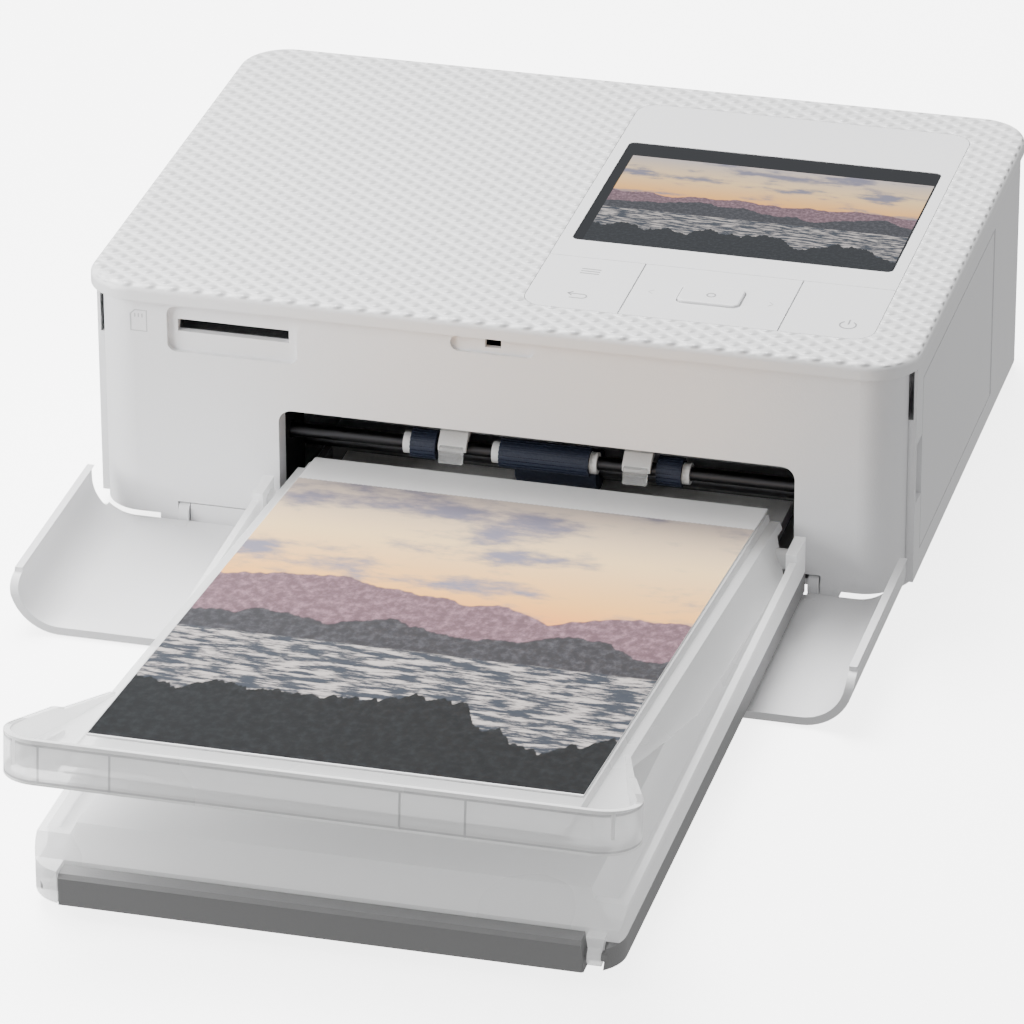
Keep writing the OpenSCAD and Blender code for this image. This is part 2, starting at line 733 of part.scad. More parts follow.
// White spring arms that hold the paper down between the rollers
module paper_fingers() color(white) {
  y1 = guide_y;
  for (x = finger_xs) {
    side_form(x - 3.1, x + 3.1, [
      [y1 - eps, exit_z + 6], [y1 - eps, exit_z + 4.4], [exit_y - 1.2, exit_z + 2.6],
      [exit_y - 3.4, exit_z + 0.6], [exit_y - 3.4, exit_z + 2], [exit_y - 1.2, exit_z + 4.2]]);
  }
}

module finger_tips() color(clear) {
  for (x = finger_xs)
    side_form(x - 2.6, x + 2.6, [
      [exit_y - 3.5, exit_z + 1.9], [exit_y - 3.5, exit_z + 0.3],
      [exit_y - 4.3, exit_z - 1.6], [exit_y - 5.2, exit_z - 1.6], [exit_y - 4.7, exit_z + 1.9]]);
}

module chassis_frame() color(steel) {
  back = head_pivot_y + 8;
  front = front_y + 5.6;
  left = frame_l - plate_t;
  difference() {
    union() {
      side_form(left, frame_l, [
        [front, floor_top], [back, floor_top], [back, frame_top], [shelf_end + 1, frame_top],
        [shelf_end, reader_z - eps], [front + 0.4, reader_z - eps], [front, frame_top - 14]]);
      side_form(frame_rt, frame_rt + plate_t, [
        [front, floor_top], [back, floor_top], [back, frame_top], [head_pivot_y - 6, frame_top],
        [head_pivot_y - 6, drive_z + 6], [front, drive_z + 6]]);
      // Ties across the frame
      span([left, back - plate_t, 18], [frame_rt + plate_t, back, 40]);
      span([frame_l - eps, platen_y - 6, drive_z - 8.5], [frame_rt + eps, platen_y + 7, drive_z - 7.5]);
      // Feet of the side plates
      for (y = [boss_front + 5, back - 10]) {
        span([left - 7, y, floor_top], [left + eps, y + 8, floor_top + plate_t]);
        span([frame_rt + plate_t - eps, y, floor_top],
             [frame_rt + plate_t + 6, y + 8, floor_top + plate_t]);
      }
      // Stub axle of the idler gear
      rod(gear_x - 0.4, gear_w + 1.2, idler_y, drive_z, shaft_r);
      // Shelf for the card reader
      span([card_x - 14, front + 0.4, reader_z - plate_t], [left + eps, shelf_end, reader_z]);
    }
    for (p = [[exit_y, exit_z], [platen_y, drive_z], [pick_y, pick_z], [spool_y, spool_z],
              [head_pivot_y, head_pivot_z]])
      rod(left - 1, frame_w + 2 * plate_t + 2, p[0], p[1], shaft_r + run_fit);
  }
}
reader_z = card_z - 4.6;
shelf_end = front_y + 33.4;

// Shaft that runs through both side plates
module cross_shaft(y, z) {
  rod(frame_l - plate_t - 0.5, frame_w + 2 * plate_t + 1, y, z, shaft_r);
}

module feed_shaft() color(steel) {
  cross_shaft(exit_y, exit_z);
  rod(gear_x - 0.4, gear_w + 1.2, exit_y, exit_z, shaft_r);
}

// Middle and width of each rubber roller on the exit shaft, and the side that has a collar
exit_rollers = [[-17.6, 5.6, -1], [9.2, 19.8, 0], [36.8, 5.4, 1]];
module feed_rollers() color(navy) {
  rib_n = 20;
  for (e = exit_rollers) translate([e[0] - e[1] / 2, exit_y, exit_z]) rotate([90, 0, 90])
    linear_extrude(e[1]) difference() {
      circle(exit_r);
      circle(shaft_r + eps);
      for (k = [0:rib_n - 1]) rotate(k * 360 / rib_n)
        translate([exit_r, 0]) square([0.5, 0.45], center = true);
    }
}

module roller_collars() color(white) {
  for (e = exit_rollers, s = [-1, 1])
    if (e[2] == 0 || s == e[2])
      translate([e[0] + s * (e[1] / 2 + 0.9) - 0.8, exit_y, exit_z]) rotate([0, 90, 0])
      difference() {
        cylinder(r = 2.4, h = 1.6);
        translate([0, 0, -1]) cylinder(r = shaft_r + eps, h = 4);
      }
}

module feed_gear() color(pale) {
  translate([gear_x, exit_y, exit_z]) gear(roller_n, 0, shaft_r + eps);
}

module idler_gear() color(pale) {
  translate([gear_x, idler_y, drive_z]) gear(idler_n, 180 / idler_n + 180, shaft_r + run_fit);
}

module platen_roller() color([0.12, 0.12, 0.13]) {
  cross_shaft(platen_y, drive_z);
  rod(gear_x - 0.4, gear_w + 1.2, platen_y, drive_z, shaft_r);
  rod(path_x - platen_len / 2, platen_len, platen_y, drive_z, platen_r);
}

module platen_gear() color(pale) {
  translate([gear_x, platen_y, drive_z]) gear(roller_n, 180, shaft_r + eps);
}

module drive_motor() color([0.3, 0.31, 0.33]) {
  difference() {
    union() {
      rod(motor_x - motor_l, motor_l, pinion_y, drive_z, motor_r);
      rod(motor_x - eps, 1, pinion_y, drive_z, 3.4);
    }
    rod(motor_x - 8, 12, pinion_y, drive_z, 1 + run_fit);
  }
}

module motor_bracket() color(steel) {
  x1 = motor_x;
  difference() {
    union() {
      span([x1 + 0.05, pinion_y - 12, floor_top], [x1 + 1.05, pinion_y + 12, drive_z + 8]);
      span([x1 - 8, pinion_y - 12, floor_top], [x1 + 1.05, pinion_y - 8, floor_top + 1]);
    }
    rod(x1 - 1, 4, pinion_y, drive_z, 3.5);
  }
}

module motor_pinion() color([0.8, 0.7, 0.4]) {
  translate([gear_x, pinion_y, drive_z]) gear(pinion_n, 180 + 180 / pinion_n, 0);
  rod(motor_x - 7, 7 + 3.3, pinion_y, drive_z, 1);
}

module pickup_shaft() color(steel) {
  cross_shaft(pick_y, pick_z);
}

module pickup_roller() color(navy) {
  difference() {
    rod(path_x - 9, 18, pick_y, pick_z, pick_r);
    rod(path_x - 10, 20, pick_y, pick_z, shaft_r + eps);
  }
}

module thermal_head() color([0.82, 0.8, 0.74]) {
  span([path_x - head_w / 2, platen_y - 5, head_z], [path_x + head_w / 2, platen_y + 5, head_z + 2.6]);
}

module heat_sink() color([0.75, 0.76, 0.78]) {
  z0 = head_z + 2.6;
  span([path_x - head_w / 2, platen_y - 7, z0], [path_x + head_w / 2, platen_y + 7, z0 + 2.4]);
  for (k = [0:4])
    span([path_x - head_w / 2, platen_y - 7 + 3.2 * k, z0 + 2],
         [path_x + head_w / 2, platen_y - 5.8 + 3.2 * k, z0 + 9]);
}

module head_arms() color(steel) {
  z0 = head_z + 2.6 + 9;
  inner = path_x - head_w / 2;
  for (s = [0, 1]) translate([2 * s * path_x, 0, 0]) mirror([s, 0, 0]) {
    x0 = frame_l + 0.6;
    side_form(x0, x0 + plate_t, [
      [platen_y - 5, z0 + 0.2], [platen_y - 5, z0 + 4.4], [head_pivot_y + 3, head_pivot_z + 3],
      [head_pivot_y + 3, head_pivot_z - 3], [platen_y + 12, z0 + 0.2]]);
    rod(frame_l - plate_t + 0.1, plate_t + 0.6, head_pivot_y, head_pivot_z, shaft_r);
    span([x0, platen_y - 5, z0 + 0.1], [inner + 6, platen_y + 7, z0 + 1.3]);
  }
}

// ---------- ink ribbon ----------

case_l = frame_l + 4.65;
case_rt = frame_rt - 4.15;
module ribbon_case() color([0.2, 0.2, 0.22]) {
  difference() {
    union() {
      for (p = [[spool_y, spool_z], [supply_y, supply_z]])
        rod(case_l, case_rt - case_l, p[0], p[1], chamber_r);
      // Bars that join the two chambers beside the print head
      for (x = [case_l, case_rt - 1.6])
        side_form(x, x + 1.6, [
          [spool_y, spool_z - 2], [supply_y, supply_z - 2], [supply_y, supply_z + 2],
          [spool_y, spool_z + 2]]);
      // Grip flange at the door end
      span([case_rt - eps, spool_y - 6, supply_z - 6], [case_rt + 2, supply_y + 6, supply_z + 3.5]);
    }
    for (p = [[spool_y, spool_z], [supply_y, supply_z]]) {
      rod(case_l + 1.6, case_rt - case_l - 3.2, p[0], p[1], chamber_r - chamber_t);
      rod(case_l - 1, case_rt - case_l + 6, p[0], p[1], 1.8 + run_fit);
    }
    // Slots where the ribbon leaves each chamber, facing the head
    span([case_l + 3, spool_y + 1, spool_z - chamber_r - 1],
         [case_rt - 3, spool_y + chamber_r + 1, spool_z - 4.4]);
    span([case_l + 3, supply_y - chamber_r - 1, supply_z - chamber_r - 1],
         [case_rt - 3, supply_y - 1, supply_z - 4.4]);
  }
}

// Core with its wound ribbon and two end journals
module spool(y, z, wound_r) {
  rod(case_l + 0.2, case_rt - case_l - 0.4, y, z, 1.8);
  rod(case_l + 2, case_rt - case_l - 4, y, z, wound_r);
}

module take_up_spool() color([0.35, 0.2, 0.3]) {
  spool(spool_y, spool_z, 4);
}

module take_up_gear() color(pale) {
  translate([gear_x, spool_y, spool_z]) gear(spool_n, spool_phase, 0);
  rod(gear_x + gear_w - eps, case_l - gear_x - gear_w - 0.1, spool_y, spool_z, shaft_r);
}
// The idler's teeth sit every 12 degrees, so the spool gear is turned to meet a gap
idler_at = 90 + spool_lean;
idler_step = 360 / idler_n;
idler_off = (idler_at - 180 / idler_n - 180) / idler_step;
spool_frac = idler_off - floor(idler_off);
spool_phase = idler_at + 180 + (spool_frac + 0.5) * 360 / spool_n;

module supply_spool() color([0.35, 0.2, 0.3]) {
  spool(supply_y, supply_z, 6);
}

// ---------- electronics ----------

board_top = floor_top + 2.8 + 1.6;
module main_board() color(green) {
  x0 = -inner_x + 2.5;
  x1 = frame_l - plate_t - 2.4;
  difference() {
    span([x0, 4, floor_top + 2.8], [x1, wrap_back - wall - 3, board_top]);
    // Corner cut back round the screw boss
    span([x0 - 1, boss_back - 3.8, 0], [-boss_x + 3.8, wrap_back, board_top + 1]);
  }
  span([x0 + 8, 12, board_top - eps], [x0 + 20, 24, board_top + 1.4]);
  span([x0 + 6, 30, board_top - eps], [x0 + 14, 36, board_top + 1.2]);
  // Capacitors in front of the sockets
  for (k = [0:2]) translate([x0 + 5 + 8 * k, boss_back - 11.7, board_top - eps]) cylinder(r = 3, h = 8);
}

jack_x0 = -inner_x + 16;
jack_z = board_top + 5.4;
jack_r = 3.2;
module dc_jack() color(black) {
  y1 = wrap_back - wall - 0.2;
  difference() {
    span([jack_x0 - 4.6, y1 - 14, board_top + 0.02], [jack_x0 + 4.6, y1, board_top + 10.4]);
    translate([jack_x0, y1 + 1, jack_z]) rotate([90, 0, 0]) cylinder(r = jack_r, h = 10);
  }
  translate([jack_x0, y1 - 1, jack_z]) rotate([90, 0, 0]) cylinder(r = 0.85, h = 9);
}

port_w = 9;
port_h = 3.3;
port_x = -inner_x + 28.5;
port_z = board_top + 2;
module usb_port() color(steel) {
  y1 = wrap_back - wall - 0.2;
  translate([port_x, y1, port_z]) rotate([90, 0, 0]) difference() {
    linear_extrude(8) rounded(port_w, port_h, port_h / 2 - eps);
    translate([0, 0, -1]) linear_extrude(8) rounded(port_w - 0.7, port_h - 0.7, port_h / 2 - 0.36);
  }
  span([port_x - 3.3, y1 - 7, port_z - 0.35], [port_x + 3.3, y1 - 1.5, port_z + 0.35]);
}

module reader_board() color(green) {
  front = front_y + 5.6;
  span([card_x - 15, front + 0.4, reader_z + 0.02], [card_x + 14, shelf_end - fit, reader_z + 1.2]);
}

module card_socket() color(steel) {
  y0 = front_y + 3.3;
  difference() {
    span([card_x - card_w / 2 - 1.4, y0, reader_z + 1.22],
         [card_x + card_w / 2 + 1.4, y0 + 28, card_z + card_h / 2 + 1]);
    span([card_x - card_w / 2, y0 - 1, card_z - card_h / 2],
         [card_x + card_w / 2, y0 + 26, card_z + card_h / 2]);
  }
}

// ---------- feet and fasteners ----------

module rubber_feet() color([0.2, 0.2, 0.21]) {
  for (x = [-1, 1], y = [-1, 1])
    translate([x * (wrap_w / 2 - 22), y * (body_d / 2 - 22) + 3, 0]) {
      cylinder(r = 5, h = foot_h);
    }
}

module case_screws() color(steel) {
  boss_places() translate([0, 0, foot_h + 0.1]) {
    cylinder(r = 2.4, h = 0.98);
    cylinder(r = 1.05, h = 7);
  }
}

// ---------- paper cassette ----------

// Plan of the cassette outside the printer, with its far corners rounded
module tray_plan(gap) {
  d = tray_back - tray_front - 2 * gap;
  r = tray_r - gap;
  translate([path_x, tray_front + gap]) {
    translate([-tray_w / 2 + gap, r]) square([tray_w - 2 * gap, d - r]);
    translate([-tray_w / 2 + gap + r, 0]) square([tray_w - 2 * gap - 2 * r, r + 1]);
    for (s = [-1, 1]) translate([s * (tray_w / 2 - tray_r), r]) circle(r);
  }
}

notch_x = path_x + bar_w / 2 + 2;
notch_end = lid_hinge_y + knuckle_r + 0.4;

// Upright V beside the bar's right end: half width low down and high up
module vee(low, high, z0, z1, y0, y1) {
  translate([notch_x, y1, 0]) rotate([90, 0, 0]) linear_extrude(y1 - y0)
    polygon([[-low, z0], [low, z0], [high, z1], [-high, z1]]);
}

module cassette_base() color(grey) {
  inner_floor = tray_z + tray_wall;
  back = front_y + tongue_len;
  difference() {
    union() {
      translate([0, 0, tray_z]) linear_extrude(band_h) tray_plan(0);
      // Tongue that reaches under the pick-up roller
      span([path_x - tongue_w / 2, tray_back - 1, tray_z],
           [path_x + tongue_w / 2, back, inner_floor + stack_h + 0.3]);
      // Grip bar, higher than the band and rounded along its top
      side_form(path_x - bar_w / 2, path_x + bar_w / 2, [
        [tray_front, tray_z], [tray_front, tray_z + bar_h - 0.8], [tray_front + 0.8, tray_z + bar_h],
        [tray_front + 4.4, tray_z + bar_h], [tray_front + 4.4, tray_z]]);
    }
    // Room for the paper
    translate([0, 0, inner_floor]) linear_extrude(band_h) difference() {
      tray_plan(tray_wall);
      translate([path_x - bar_w / 2 - 1, tray_front - 1]) square([bar_w + 2, 6.5]);
    }
    span([path_x - tongue_w / 2 + tray_wall, tray_back - 3, inner_floor],
         [path_x + tongue_w / 2 - tray_wall, back - tray_wall, tray_z + 20]);
    // Left corner cut away for the clear post, and the notch at the right
    span([path_x - tray_w / 2 - 1, tray_front - 1, tray_z - 1],
         [path_x - bar_w / 2, notch_end, band_top + 4]);
    vee(1.6, 2.5, tray_z - 1, tray_z + bar_h + 1, tray_front - 1, notch_end);
    // Window in the tongue's floor for the printer's paper lifter
    span([path_x - 14, back - 20, tray_z - 1], [path_x + 14, back - 8, inner_floor + 1]);
  }
  // Pins for the inner cover
  rod(path_x - bar_w / 2 - 4, 4 + eps, lid_hinge_y, lid_hinge_z, lid_pin_r);
  rod(notch_x - 2.4, 4.8, lid_hinge_y, lid_hinge_z, lid_pin_r);
  // Low guide ribs that keep the sheets straight
  for (s = [-1, 1]) translate([path_x + s * (paper_w / 2 + 0.9), 0, 0])
    span([-0.5, tray_front + 24, inner_floor - eps], [0.5, tray_back - 12, inner_floor + 4]);
}

module postcard_stack() color([0.93, 0.93, 0.92]) {
  far = front_y + tongue_len - tray_wall - 1;
  z0 = tray_z + tray_wall + 0.02;
  span([path_x - paper_w / 2, far - print_len - strip_len, z0], [path_x + paper_w / 2, far, z0 + stack_h]);
}

// Side view of the inner cover, its bevelled far end set back by a wall
module lid_side(inset) {
  y = tray_front + 5 + inset;
  bevel = 6;
  side_form(path_x - tray_w, path_x + tray_w, [
    [y, lid_low - 1], [tray_back + 1, lid_low - 1], [tray_back + 1, tray_top + 1],
    [y + bevel + 1, tray_top + 1], [y + bevel - 0.3, tray_top], [y, tray_z + bar_h + 0.6]]);
}

// Outline across the cassette, drawn as (X, Z) points and run between two values of Y
module cross_form(y0, y1, points) {
  translate([path_x, y1, 0]) rotate([90, 0, 0]) linear_extrude(y1 - y0) polygon(points);
}

module inner_cover() color(clear) {
  top = tray_top;
  t = tray_wall;
  half = tray_w / 2;
  post_r = path_x - bar_w / 2 - fit;
  // Inner faces of the sloping sides
  room_low = lid_slope(lid_low) - flange_t;
  room_top = lid_slope(top - t) - flange_t;
  difference() {
    union() {
      intersection() {
        translate([0, 0, lid_low]) linear_extrude(top - lid_low) tray_plan(0);
        lid_side(0);
      }
      // Left corner post, down to the bottom
      intersection() {
        translate([0, 0, tray_z + 0.2]) linear_extrude(bar_h + 0.4) tray_plan(0);
        span([path_x - half - 1, tray_front - 1, 0], [post_r, notch_end - 0.4, top]);
      }
      span([path_x - half + 4, notch_end - 0.5, lid_low], [post_r, tray_front + 8, lid_low + 2]);
      // Knuckle in the notch at the right
      rod(notch_x - 1.3, 2.6, lid_hinge_y, lid_hinge_z, knuckle_r);
      vee(1.2, 1.8, lid_hinge_z, tray_z + bar_h, lid_hinge_y - 0.6, notch_end - 0.4);
      span([notch_x - 1.5, lid_hinge_y, lid_low], [notch_x + 1.5, tray_front + 6.5, tray_z + bar_h]);
      // Ears that carry the outer cover's pins
      for (s = [-1, 1]) translate([path_x + s * (half - t - 0.2), 0, 0])
        span([-t / 2, cover_pivot_y - 3.2, lid_low], [t / 2, cover_pivot_y + 3.2, cover_pivot_z + 2.6]);
    }
    // Room over the paper
    intersection() {
      lid_side(t);
      cross_form(tray_front, tray_back - t, [
        [-room_low, lid_low - 1], [room_low, lid_low - 1], [room_low, lid_low], [room_top, top - t],
        [-room_top, top - t], [-room_low, lid_low]]);
    }
    for (s = [-1, 1]) {
      // Rims below the level of the top
      cross_form(tray_front - 1, cover_pivot_y - 4, [
        [s * lid_slope(lid_rim), lid_rim], [s * (half + 1), lid_rim], [s * (half + 1), top + 1],
        [s * lid_slope(top), top + 1], [s * lid_slope(top), top]]);
      // Troughs that take the outer cover's flanges when it is shut
      cross_form(tray_front + 11, cover_pivot_y - 3.9, [
        [s * (half - t), trough_z], [s * lid_slope(trough_z), trough_z],
        [s * lid_slope(lid_rim + 1), lid_rim + 1], [s * (half - t), lid_rim + 1]]);
    }
    rod(path_x - bar_w / 2 - 4.4, 5, lid_hinge_y, lid_hinge_z, lid_pin_r + run_fit);
    rod(notch_x - 3, 6, lid_hinge_y, lid_hinge_z, lid_pin_r + run_fit);
    rod(path_x - half + 0.6, tray_w - 1.2, cover_pivot_y, cover_pivot_z, cover_pin_r + run_fit);
    // Back end wall is open over the paper
    span([path_x - tongue_w / 2 + 1, tray_back - t - 1, lid_low - 1],
         [path_x + tongue_w / 2 - 1, tray_back + 1, top - t]);
    // Room for the outer cover's pivot bosses
    span([path_x - cover_w / 2 - 0.4, cover_pivot_y - 4, lid_low - 1],
         [path_x + cover_w / 2 + 0.4, tray_back + 1, top + 1]);
  }
}

// Turns the outer cover and the print from shut to the catching angle
module raised() {
  translate([0, cover_pivot_y, cover_pivot_z]) rotate([-cover_tilt, 0, 0])
    translate([0, -cover_pivot_y, -cover_pivot_z]) children();
}

// Cross-section of the outer cover: bed, shoulders and leaning side flanges
module cover_section() {
  low_x = cover_w / 2;
  top_x = low_x - flange_lean;
  under_x = top_x + flange_slope * cover_t - flange_t;
  bed = paper_w / 2 + 0.6;
  t = cover_t;
  polygon([
    [-low_x, flange_low], [-top_x, shoulder_z], [-bed - 0.4, shoulder_z], [-bed, bed_z],
    [bed, bed_z], [bed + 0.4, shoulder_z], [top_x, shoulder_z], [low_x, flange_low],
    [low_x - flange_t, flange_low], [under_x, shoulder_z - t], [bed + 1.2, shoulder_z - t],
    [bed - 1, bed_z - t], [-bed + 1, bed_z - t], [-bed - 1.2, shoulder_z - t],
    [-under_x, shoulder_z - t], [-low_x + flange_t, flange_low]]);
}

// Plan of the outer cover's far end, from its rounded corners to the neck behind the wings
module far_plan(inset, over) {
  a = wing_lean;
  r = wing_r - inset;
  rear = wing_rear / 2 - inset / cos(a);
  neck = cover_w / 2 - flange_lean - inset / cos(a);
  for (s = [-1, 1]) translate([s * wing_c, wing_r]) circle(r);
  polygon([
    [-wing_c, inset], [wing_c, inset], [wing_c + r * cos(a), wing_r + r * sin(a)],
    [rear, wing_len], [neck, neck_len + over], [-neck, neck_len + over], [-rear, wing_len],
    [-wing_c - r * cos(a), wing_r + r * sin(a)]]);
}

module outer_cover() color(clear) raised() {
  t = cover_t;
  top = bed_z + stop_h;
  low = bed_z - skirt_h;
  wing_end = cover_front + wing_len;
  wing_top = top - wing_drop;
  under = shoulder_z - t;
  neck_x = cover_w / 2 - flange_lean;
  // Bed, shoulders and flanges, cut away below towards the far end and behind the pivot
  intersection() {
    translate([path_x, cover_back, 0]) rotate([90, 0, 0])
      linear_extrude(cover_back - cover_front - t) cover_section();
    side_form(path_x - cover_w, path_x + cover_w, [
      [cover_front - 1, under - 0.05], [cover_front + neck_len - 2, under - 0.05],
      [cover_front + neck_len + 9, shoulder_z - 3], [cover_front + neck_len + 51, flange_low - 1],
      [cover_pivot_y - 5, flange_low - 1], [cover_pivot_y - 0.6, cover_pivot_z - 0.6],
      [cover_pivot_y + 3.4, under - 0.05], [cover_back + 1, under - 0.05],
      [cover_back + 1, bed_z + 1], [cover_front - 1, bed_z + 1]]);
  }
  // Far wall and wings, whose top edge falls to the neck
  intersection() {
    translate([path_x, cover_front, low - 1]) linear_extrude(top - low + 2) difference() {
      far_plan(0, 0);
      far_plan(t, 1);
    }
    side_form(path_x - wing_w, path_x + wing_w, [
      [cover_front - 1, low], [wing_end, low], [wing_end, under], [wing_end + 30, under],
      [wing_end + 30, shoulder_z], [cover_front + neck_len, shoulder_z + 0.5],
      [wing_end, wing_top - 1.2], [wing_end - 0.6, wing_top - 0.5], [wing_end - 2, wing_top],
      [cover_front, top], [cover_front - 1, top]]);
  }
  // Floor between the bed and the wings
  translate([path_x, cover_front, under]) linear_extrude(t) difference() {
    far_plan(t / 2, 0);
    translate([-neck_x + 1.5, t + 1]) square([2 * neck_x - 3, neck_len]);
  }
  // Pivot pins and the bosses that carry them
  pin_l = tray_w / 2 - 0.9;
  for (s = [0, 1]) translate([2 * s * path_x, 0, 0]) mirror([s, 0, 0]) {
    rod(path_x - pin_l, pin_l - cover_w / 2 + 2.7, cover_pivot_y, cover_pivot_z, cover_pin_r);
    rod(path_x - cover_w / 2 + 0.1, 2.6, cover_pivot_y, cover_pivot_z, 2.2);
  }
}

module print_sheet() color([0.75, 0.62, 0.5]) raised() {
  span([path_x - paper_w / 2, print_far, bed_z + 0.1],
       [path_x + paper_w / 2, print_far + print_len + strip_len, bed_z + 0.1 + print_t]);
}

base_casing();
wrap_casing();
front_moulding();
top_cover();
control_fascia();
display_glass();
lcd_module();
button_board();
menu_key();
rocker_plate();
ok_key();
power_key();
front_flap();
ink_door();
throat_guide();
paper_fingers();
finger_tips();
chassis_frame();
feed_shaft();
feed_rollers();
roller_collars();
feed_gear();
idler_gear();
platen_roller();
platen_gear();
drive_motor();
motor_bracket();
motor_pinion();
pickup_shaft();
pickup_roller();
thermal_head();
heat_sink();
head_arms();
ribbon_case();
take_up_spool();
take_up_gear();
supply_spool();
main_board();
dc_jack();
usb_port();
card_socket();
reader_board();
rubber_feet();
case_screws();
cassette_base();
postcard_stack();
inner_cover();
outer_cover();
print_sheet();
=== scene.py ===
# %% [markdown]
# # A compact photo printer in Blender
# The printer's solids come from its CAD model and are already in the right place, in metres.
# This lesson gives them their finishes, adds the printed marks and sets up the studio.
# The CAD shapes are never moved: Blender only adds what a mould or a printing plate would add.

import math

import bmesh
import bpy
from mathutils import Matrix, Vector


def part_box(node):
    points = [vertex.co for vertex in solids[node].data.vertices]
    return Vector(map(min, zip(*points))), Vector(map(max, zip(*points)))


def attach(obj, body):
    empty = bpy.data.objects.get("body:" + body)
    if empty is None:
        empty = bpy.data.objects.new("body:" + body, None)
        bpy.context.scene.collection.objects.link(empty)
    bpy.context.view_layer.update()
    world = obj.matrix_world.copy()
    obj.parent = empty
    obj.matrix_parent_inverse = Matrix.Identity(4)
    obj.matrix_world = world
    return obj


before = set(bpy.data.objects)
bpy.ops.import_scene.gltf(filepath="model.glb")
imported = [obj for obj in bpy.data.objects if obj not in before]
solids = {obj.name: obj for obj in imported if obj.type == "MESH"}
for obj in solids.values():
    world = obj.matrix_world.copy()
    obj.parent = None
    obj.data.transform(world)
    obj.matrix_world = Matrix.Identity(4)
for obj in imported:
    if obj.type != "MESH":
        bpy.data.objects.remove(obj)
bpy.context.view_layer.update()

# %% [markdown]
# ## The photographer's camera
# The picture was taken from the front, a little to the right, with a long lens. A long lens
# keeps the printer's edges nearly parallel. The camera is placed by its position and by three
# directions: to its right, up and back. They are the columns of its rotation matrix.

# %% Camera
camera_data = bpy.data.cameras.new("camera")
camera_data.lens = 250.1
camera_data.sensor_width = 36.0
camera_data.clip_start = 0.05
camera = bpy.data.objects.new("camera", camera_data)
bpy.context.scene.collection.objects.link(camera)
to_right = Vector((0.96737, 0.25335, -0.00329)).normalized()
ahead = Vector((-0.22743, 0.86254, -0.45198)).normalized()
to_right = (to_right - ahead * to_right.dot(ahead)).normalized()
upward = to_right.cross(ahead)
turn = Matrix((to_right, upward, -ahead)).transposed()
camera.matrix_world = Matrix.Translation((0.3505, -1.37726, 0.70081)) @ turn.to_4x4()
bpy.context.scene.camera = camera
print("camera looks along", tuple(round(v, 3) for v in ahead))

# %% [markdown]
# ## Shader maths that reads like sums
# A procedural finish is a sum over the surface: stripes, grains and masks. Wiring each Math node
# by hand hides the idea, so a small class wraps one socket. Adding or multiplying two of them
# adds the Math node for it. Positions are vectors and go through Vector Math instead. A
# comparison gives 1 or 0, so two of them multiplied mean "both", which makes a mask.

# %% The socket class and the finish class
def is_vector(value):
    return isinstance(value, tuple) or (isinstance(value, Field) and value.socket.type == "VECTOR")


class Field:
    """A value that changes over a surface: one output socket of a shader tree."""

    def __init__(self, finish, socket):
        self.finish = finish
        self.socket = socket

    def maths(self, operation, *values):
        kind = "ShaderNodeVectorMath" if any(is_vector(v) for v in values) else "ShaderNodeMath"
        return self.finish.node(kind, {"operation": operation}, dict(enumerate(values)))

    def __add__(self, other):
        return self.maths("ADD", self, other)

    def __radd__(self, other):
        return self.maths("ADD", other, self)

    def __sub__(self, other):
        return self.maths("SUBTRACT", self, other)

    def __rsub__(self, other):
        return self.maths("SUBTRACT", other, self)

    def __mul__(self, other):
        return self.maths("MULTIPLY", self, other)

    def __rmul__(self, other):
        return self.maths("MULTIPLY", other, self)

    def __truediv__(self, other):
        return self.maths("DIVIDE", self, other)

    def __gt__(self, other):
        return self.maths("GREATER_THAN", self, other)

    def __lt__(self, other):
        return self.maths("LESS_THAN", self, other)

    def cos(self):
        return self.maths("COSINE", self)

    def magnitude(self):
        return self.maths("ABSOLUTE", self)

    def fraction(self):
        return self.maths("FRACT", self)

    def at_most(self, other):
        return self.maths("MINIMUM", self, other)

    def smooth(self, low, high):
        """0 below low, 1 above high and a smooth rise between them."""
        return self.finish.node("ShaderNodeMapRange", {"interpolation_type": "SMOOTHSTEP"},
                                {"Value": self, "From Min": low, "From Max": high})

    def ramp(self, *stops):
        """The colour that a list of (place, colour) stops gives at this value."""
        return self.finish.node("ShaderNodeValToRGB", {"stops": stops}, {0: self})


